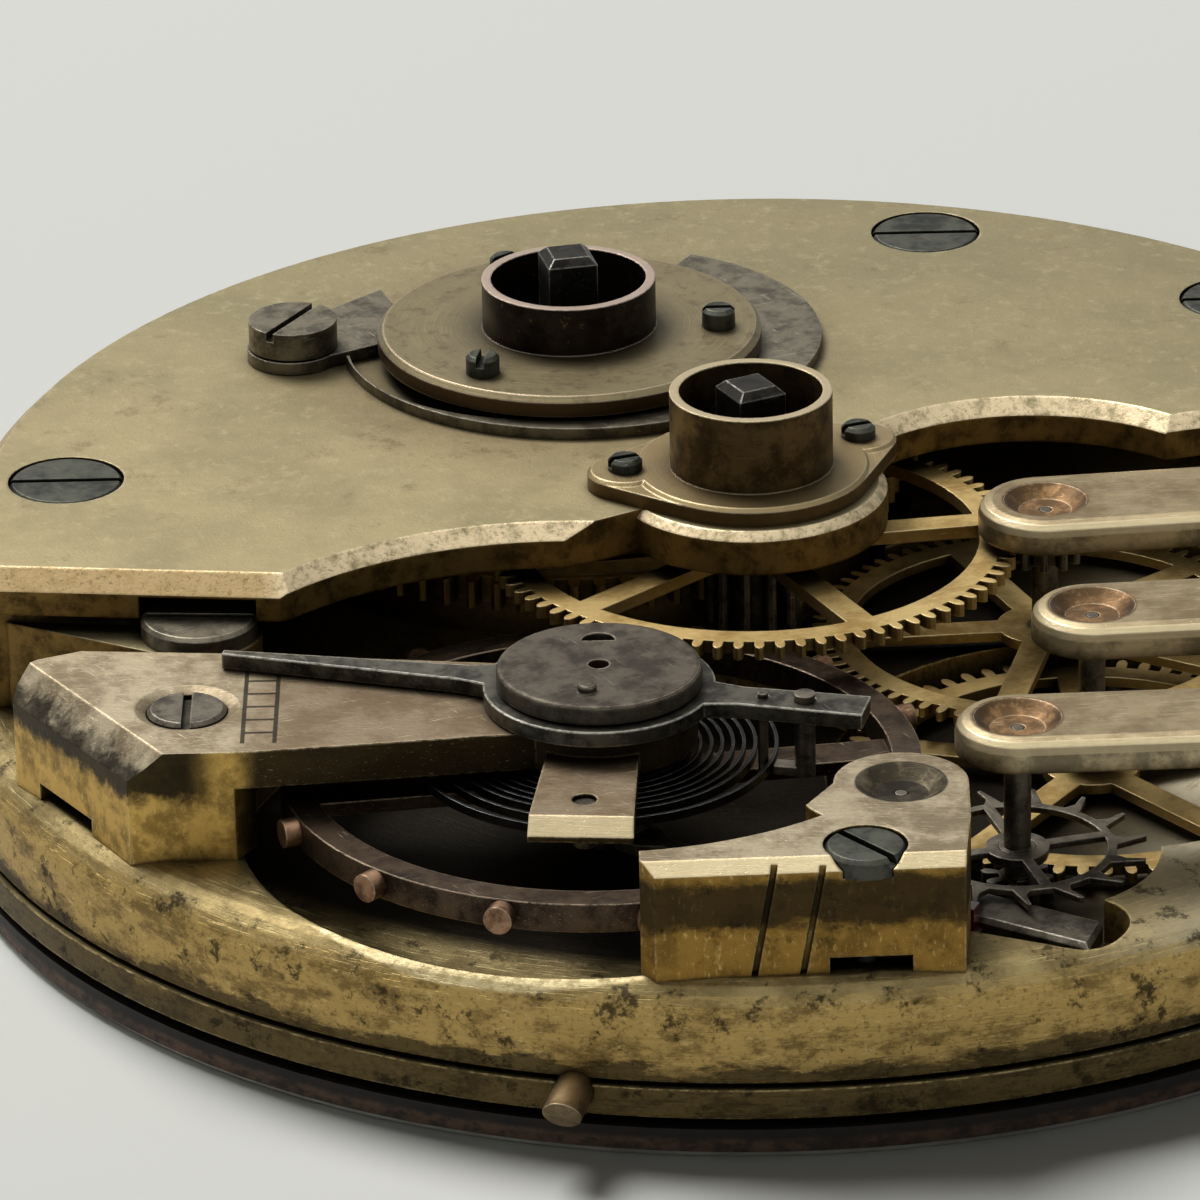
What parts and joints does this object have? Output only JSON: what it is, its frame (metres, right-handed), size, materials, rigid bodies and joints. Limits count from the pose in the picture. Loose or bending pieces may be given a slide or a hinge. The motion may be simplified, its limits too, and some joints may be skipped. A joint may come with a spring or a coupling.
{
  "type": "pocket watch movement",
  "caption": "Key-wound lever pocket watch movement lying dial down, with an upper plate, finger bridges, a balance cock with regulator and an open gear train.",
  "frame": {"origin": "on the centre arbor's axis, in the plane of the dial's face that the movement rests on", "axes": "+Z along the centre arbor from the dial towards the winding and setting squares, -Y towards the balance side seen at the front of the picture, +X towards the finger bridges"},
  "size_m": [0.043, 0.044, 0.0117],
  "materials": {
    "gilt": "aged gilt, satin, with bright worn bevels",
    "cock_brass": "worn gilt brass with scratches and dark stains",
    "brass": "polished yellow brass",
    "blued_steel": "dark blued steel",
    "steel": "dark grey steel, worn bright on its edges",
    "bronze": "dark bronze and steel balance rim",
    "ruby": "polished red jewel",
    "enamel": "white fired enamel"
  },
  "bodies": {
    "plate": {"main_plate": "gilt", "dial": "enamel", "dial_pins": "brass", "case_pin": "brass", "upper_plate": "gilt", "plate_screws": "blued_steel", "foot_screw": "steel", "third_bridge": "gilt", "fourth_bridge": "gilt", "escape_bridge": "gilt", "bridge_screws": "blued_steel", "pallet_cock": "cock_brass", "pallet_cock_screw": "blued_steel", "balance_cock": "cock_brass", "balance_cock_screw": "steel", "balance_jewel": "ruby", "endstone": "ruby", "endstone_cap": "steel", "hairspring_stud": "brass", "ratchet_cap": "cock_brass", "ratchet_cap_screws": "blued_steel", "click_spring": "steel", "click_screw": "blued_steel", "setting_collar": "cock_brass", "setting_collar_screws": "blued_steel"},
    "barrel": {"barrel_drum": "brass", "barrel_cover": "brass", "mainspring": "blued_steel"},
    "winding": {"barrel_arbor": "steel", "ratchet_wheel": "steel"},
    "click": {"click": "steel"},
    "center": {"center_wheel": "brass", "center_pinion": "steel"},
    "setting": {"setting_arbor": "steel", "cannon_pinion": "steel"},
    "minute": {"minute_wheel": "brass"},
    "hour": {"hour_wheel": "brass"},
    "third": {"third_wheel": "brass", "third_pinion": "steel"},
    "fourth": {"fourth_wheel": "brass", "fourth_pinion": "steel"},
    "escape": {"escape_wheel": "steel", "escape_pinion": "steel"},
    "pallet": {"pallet_lever": "steel", "pallet_stones": "ruby", "pallet_arbor": "steel"},
    "balance": {"balance_wheel": "bronze", "timing_screws_set": "brass", "balance_staff": "steel", "roller": "steel", "hairspring_collet": "brass", "hairspring": "blued_steel"},
    "regulator": {"regulator": "steel", "curb_pins": "brass"}
  },
  "joints": [
    {"name": "fourth_turn", "type": "hinge", "parent": "plate", "child": "fourth", "pos_m": [0.00844, -0.0073, 0.005], "axis": [0, 0, 1], "continuous": true},
    {"name": "escape_turn", "type": "hinge", "parent": "plate", "child": "escape", "pos_m": [0.00617, -0.01387, 0.005], "axis": [0, 0, 1], "continuous": true},
    {"name": "third_turn", "type": "hinge", "parent": "plate", "child": "third", "pos_m": [0.00764, -0.0006, 0.005], "axis": [0, 0, 1], "continuous": true},
    {"name": "center_turn", "type": "hinge", "parent": "plate", "child": "center", "pos_m": [0, 0, 0.005], "axis": [0, 0, 1], "continuous": true},
    {"name": "barrel_turn", "type": "hinge", "parent": "plate", "child": "barrel", "pos_m": [-0.00471, 0.00859, 0.0045], "axis": [0, 0, 1], "continuous": true},
    {"name": "winding_turn", "type": "hinge", "parent": "plate", "child": "winding", "pos_m": [-0.00471, 0.00859, 0.008], "axis": [0, 0, 1], "continuous": true},
    {"name": "click_swing", "type": "hinge", "parent": "plate", "child": "click", "pos_m": [-0.01221, 0.00894, 0.0088], "axis": [0, 0, 1], "range_deg": [0, 10]},
    {"name": "setting_turn", "type": "hinge", "parent": "plate", "child": "setting", "pos_m": [0, 0, 0.008], "axis": [0, 0, 1], "continuous": true},
    {"name": "minute_turn", "type": "hinge", "parent": "plate", "child": "minute", "pos_m": [-0.00432, -0.00157, 0.0017], "axis": [0, 0, 1], "continuous": true},
    {"name": "hour_turn", "type": "hinge", "parent": "plate", "child": "hour", "pos_m": [0, 0, 0.0011], "axis": [0, 0, 1], "continuous": true},
    {"name": "pallet_swing", "type": "hinge", "parent": "plate", "child": "pallet", "pos_m": [0.00321, -0.01619, 0.004], "axis": [0, 0, 1], "range_deg": [-5, 5]},
    {"name": "balance_swing", "type": "hinge", "parent": "plate", "child": "balance", "pos_m": [-0.0041, -0.011, 0.0054], "axis": [0, 0, 1], "range_deg": [-270, 270], "deforming": ["hairspring"]},
    {"name": "regulator_turn", "type": "hinge", "parent": "plate", "child": "regulator", "pos_m": [-0.0041, -0.011, 0.00775], "axis": [0, 0, 1], "range_deg": [-12, 12]}
  ],
  "couplings": [
    {"joint": "escape_turn", "follows": "fourth_turn", "ratio": -8},
    {"joint": "third_turn", "follows": "fourth_turn", "ratio": -0.13333},
    {"joint": "center_turn", "follows": "fourth_turn", "ratio": 0.016667},
    {"joint": "barrel_turn", "follows": "fourth_turn", "ratio": -0.0020833},
    {"joint": "minute_turn", "follows": "setting_turn", "ratio": -0.33333},
    {"joint": "hour_turn", "follows": "setting_turn", "ratio": 0.083333}
  ]
}
